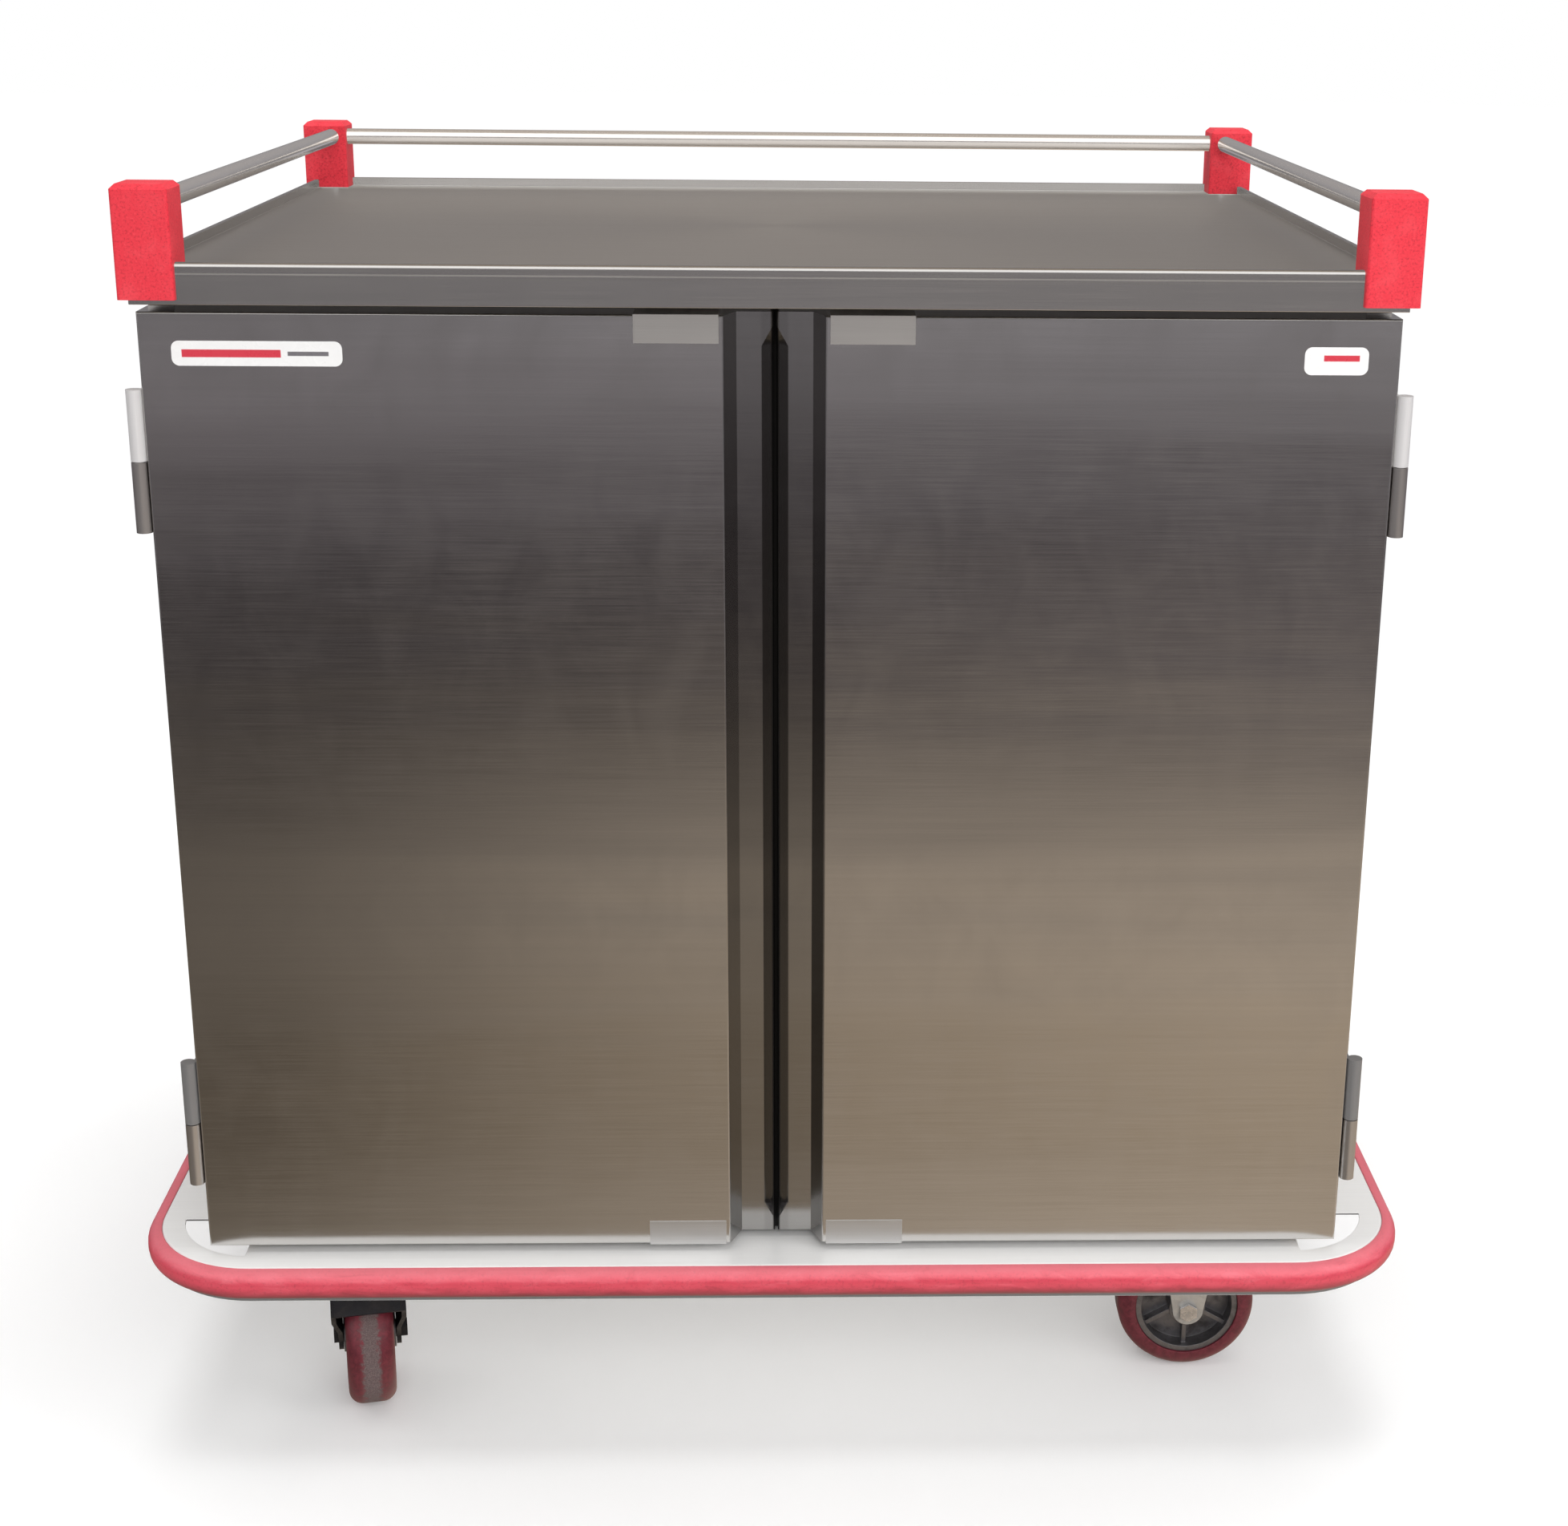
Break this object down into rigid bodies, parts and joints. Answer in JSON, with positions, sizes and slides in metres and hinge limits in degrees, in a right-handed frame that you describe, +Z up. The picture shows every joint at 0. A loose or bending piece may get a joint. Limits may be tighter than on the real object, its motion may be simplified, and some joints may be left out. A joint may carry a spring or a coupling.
{
  "type": "enclosed hospitality cart",
  "caption": "Enclosed stainless cart with a pair of full-height doors, red corner blocks, gallery rails, wrap-round bumper and casters.",
  "frame": {"origin": "on the floor, under the middle of the bumper's outline", "axes": "+X towards the cart's right-hand end as seen facing the doors, +Y from the doors to the back, +Z up"},
  "size_m": [1.33, 1.003, 1.31],
  "materials": {
    "stainless": "stainless sheet with a level brushed grain",
    "interior_steel": "plain mill-finish stainless sheet",
    "deck_steel": "satin stainless sheet",
    "track_aluminium": "mill-finish extrusion",
    "bumper_vinyl": "soft matte red vinyl",
    "block_plastic": "moulded red plastic with a fine grain",
    "rail_steel": "polished stainless tube",
    "strike_steel": "thin magnetic steel",
    "catch_plastic": "black housing",
    "hinge_steel": "satin steel",
    "fastener_steel": "bright zinc plate",
    "zinc_steel": "dull zinc plate",
    "black_steel": "black oxide, slightly oily",
    "tread_urethane": "dark red polyurethane, worn grey along its middle",
    "core_aluminium": "die-cast grey aluminium",
    "bush_bronze": "sintered bronze",
    "badge_white": "glossy white plate"
  },
  "bodies": {
    "cart": {"left_side_panel": "stainless", "right_side_panel": "stainless", "back_panel": "stainless", "worktop": "stainless", "cabinet_floor": "interior_steel", "cabinet_ceiling": "interior_steel", "front_rails": "interior_steel", "centre_divider": "interior_steel", "left_outer_rack": "interior_steel", "left_inner_rack": "interior_steel", "right_inner_rack": "interior_steel", "right_outer_rack": "interior_steel", "deck_pan": "deck_steel", "caster_channels": "deck_steel", "bumper_track": "track_aluminium", "bumper_strip": "bumper_vinyl", "front_left_block": "block_plastic", "front_right_block": "block_plastic", "back_left_block": "block_plastic", "back_right_block": "block_plastic", "left_rail": "rail_steel", "right_rail": "rail_steel", "back_rail": "rail_steel", "magnetic_catches": "catch_plastic", "cabinet_hinge_leaves": "hinge_steel", "hinge_pins": "hinge_steel", "hinge_screws": "fastener_steel", "block_screws": "fastener_steel", "caster_bolts": "fastener_steel", "rigid_axles": "fastener_steel", "rigid_forks": "zinc_steel", "swivel_plates": "zinc_steel"},
    "left_door": {"left_door_skin": "stainless", "left_door_liner": "interior_steel", "left_door_stiffener": "interior_steel", "left_door_strikes": "strike_steel", "left_door_hinge_leaves": "hinge_steel", "left_badge": "badge_white"},
    "right_door": {"right_door_skin": "stainless", "right_door_liner": "interior_steel", "right_door_stiffener": "interior_steel", "right_door_strikes": "strike_steel", "right_door_hinge_leaves": "hinge_steel", "right_badge": "badge_white"},
    "front_left_swivel": {"front_left_fork": "black_steel", "front_left_axle": "black_steel"},
    "rear_left_swivel": {"rear_left_fork": "black_steel", "rear_left_axle": "black_steel"},
    "front_left_wheel": {"front_left_tyre": "tread_urethane", "front_left_wheel_core": "core_aluminium", "front_left_wheel_bush": "bush_bronze"},
    "rear_left_wheel": {"rear_left_tyre": "tread_urethane", "rear_left_wheel_core": "core_aluminium", "rear_left_wheel_bush": "bush_bronze"},
    "front_right_wheel": {"front_right_tyre": "tread_urethane", "front_right_wheel_core": "core_aluminium", "front_right_wheel_bush": "bush_bronze"},
    "rear_right_wheel": {"rear_right_tyre": "tread_urethane", "rear_right_wheel_core": "core_aluminium", "rear_right_wheel_bush": "bush_bronze"}
  },
  "joints": [
    {"name": "left_door_hinge", "type": "hinge", "parent": "cart", "child": "left_door", "pos_m": [-0.5915, -0.4515, 0.236], "axis": [0, 0, -1], "range_deg": [0, 270]},
    {"name": "right_door_hinge", "type": "hinge", "parent": "cart", "child": "right_door", "pos_m": [0.5915, -0.4515, 0.236], "axis": [0, 0, 1], "range_deg": [0, 270]},
    {"name": "front_left_swivel_turn", "type": "hinge", "parent": "cart", "child": "front_left_swivel", "pos_m": [-0.452, -0.3165, 0.1766], "axis": [0, 0, 1], "continuous": true},
    {"name": "front_left_wheel_spin", "type": "hinge", "parent": "front_left_swivel", "child": "front_left_wheel", "pos_m": [-0.44437, -0.35576, 0.0762], "axis": [0.9816, 0.1908, 0], "continuous": true},
    {"name": "rear_left_swivel_turn", "type": "hinge", "parent": "cart", "child": "rear_left_swivel", "pos_m": [-0.452, 0.3165, 0.1766], "axis": [0, 0, 1], "continuous": true},
    {"name": "rear_left_wheel_spin", "type": "hinge", "parent": "rear_left_swivel", "child": "rear_left_wheel", "pos_m": [-0.44098, 0.27805, 0.0762], "axis": [0.9613, 0.2756, 0], "continuous": true},
    {"name": "front_right_wheel_spin", "type": "hinge", "parent": "cart", "child": "front_right_wheel", "pos_m": [0.457, -0.2945, 0.0762], "axis": [0, 1, 0], "continuous": true},
    {"name": "rear_right_wheel_spin", "type": "hinge", "parent": "cart", "child": "rear_right_wheel", "pos_m": [0.457, 0.2945, 0.0762], "axis": [0, 1, 0], "continuous": true}
  ]
}
